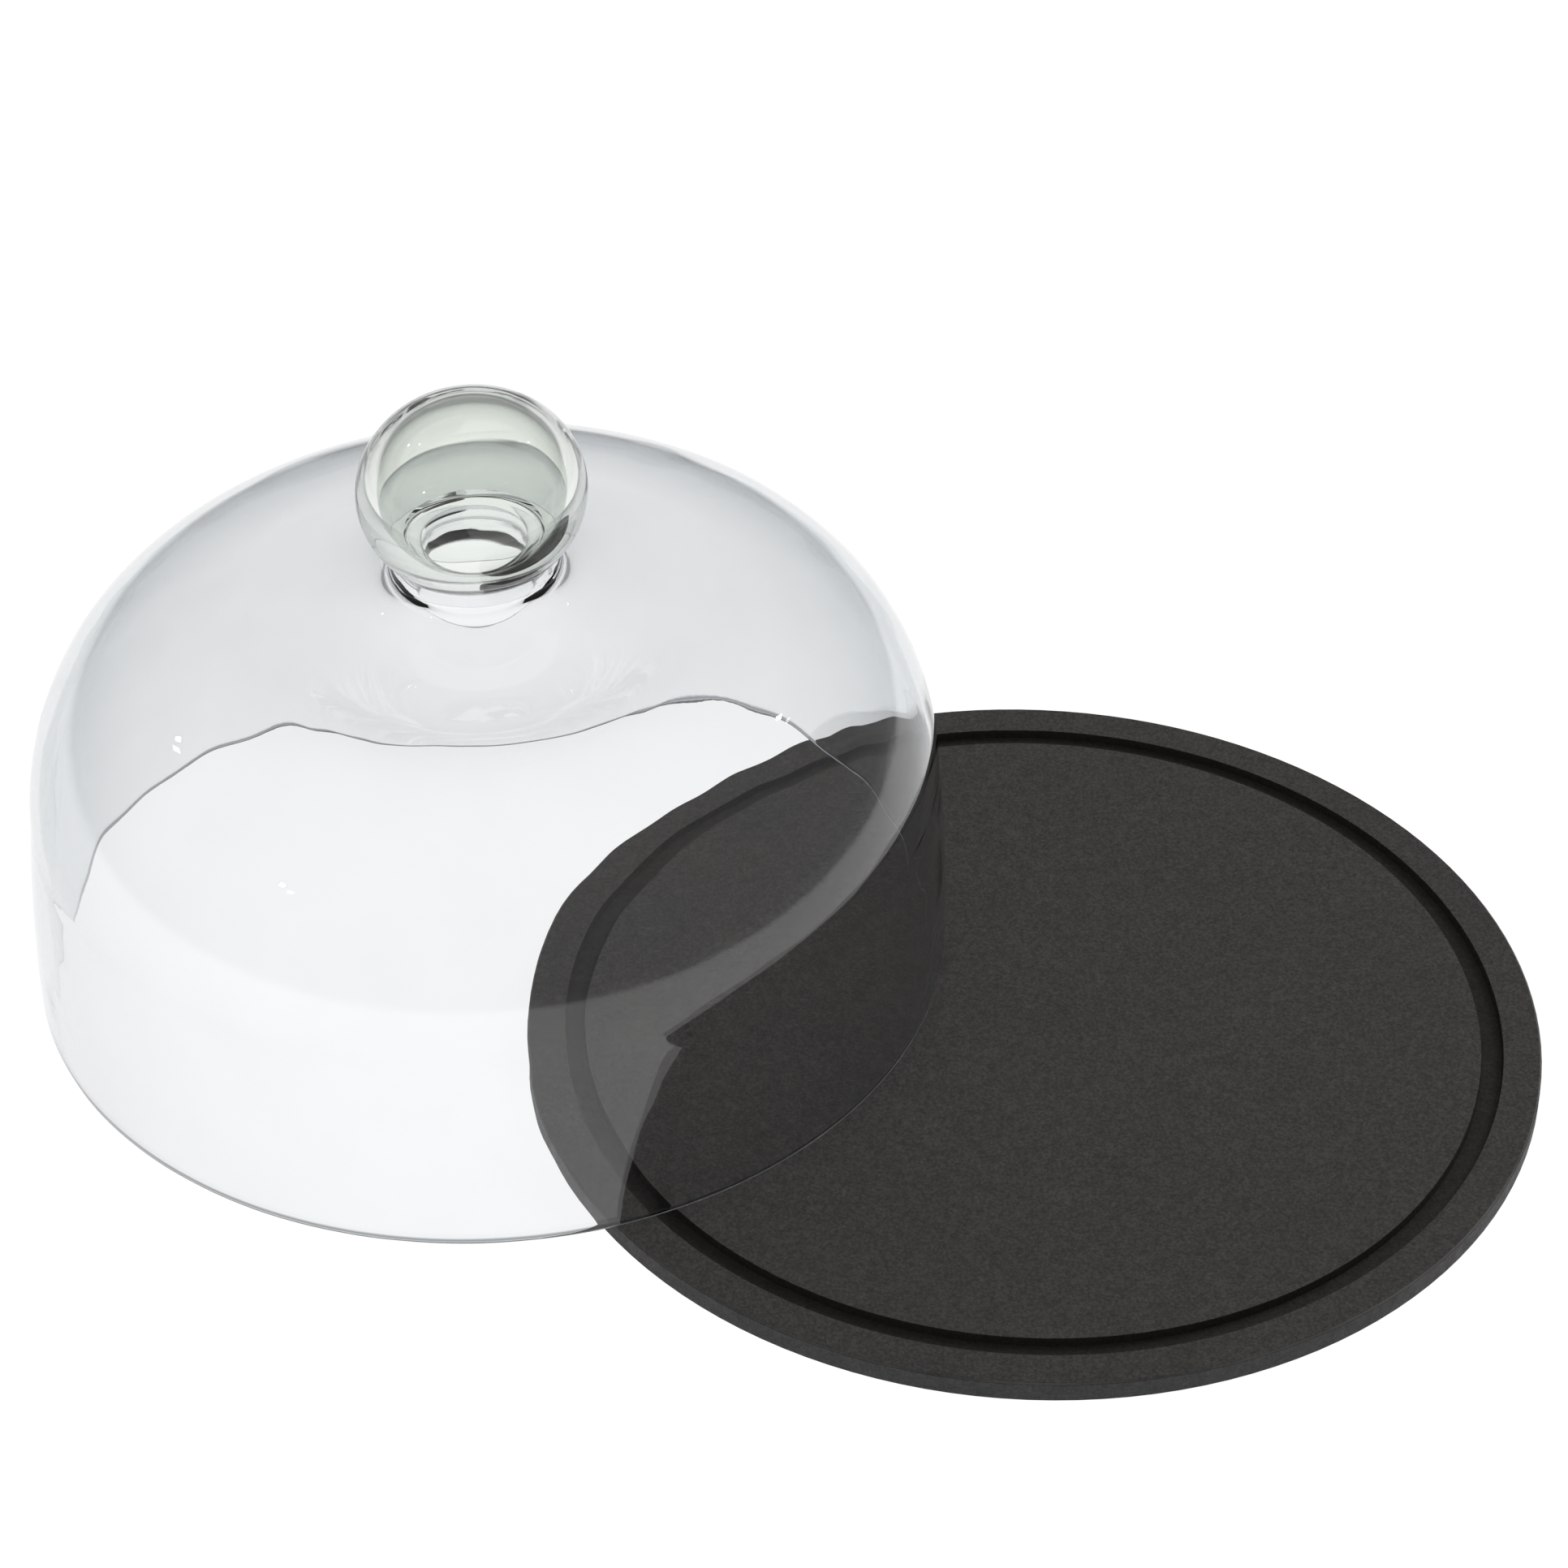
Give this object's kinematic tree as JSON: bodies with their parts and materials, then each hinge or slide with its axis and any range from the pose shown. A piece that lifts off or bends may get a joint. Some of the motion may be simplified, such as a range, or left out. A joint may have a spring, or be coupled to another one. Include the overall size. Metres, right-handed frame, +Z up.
{
  "type": "cheese dome",
  "caption": "Round glass cover with a hollow ball knob, leaning on the edge of a flat round serving board whose groove seats its lip.",
  "frame": {"origin": "centre of the serving board's underside", "axes": "+Z up, normal to the board; the cover stands off the board towards -X and a little towards +Y"},
  "size_m": [0.4487, 0.3252, 0.1981],
  "materials": {
    "fibre_board": "matt dark pressed fibre with fine speckle",
    "clear_glass": "clear blown glass, fire-polished",
    "green_glass": "thick clear glass with a faint green tint"
  },
  "bodies": {
    "board": {"serving_board": "fibre_board"},
    "cover": {"glass_dome": "clear_glass", "knob_neck": "clear_glass", "ball_knob": "green_glass"}
  },
  "joints": [
    {"name": "cover_lift", "type": "slide", "parent": "board", "child": "cover", "axis": [0.7331, -0.176, 0.657], "range_m": [0, 0.2207]}
  ]
}
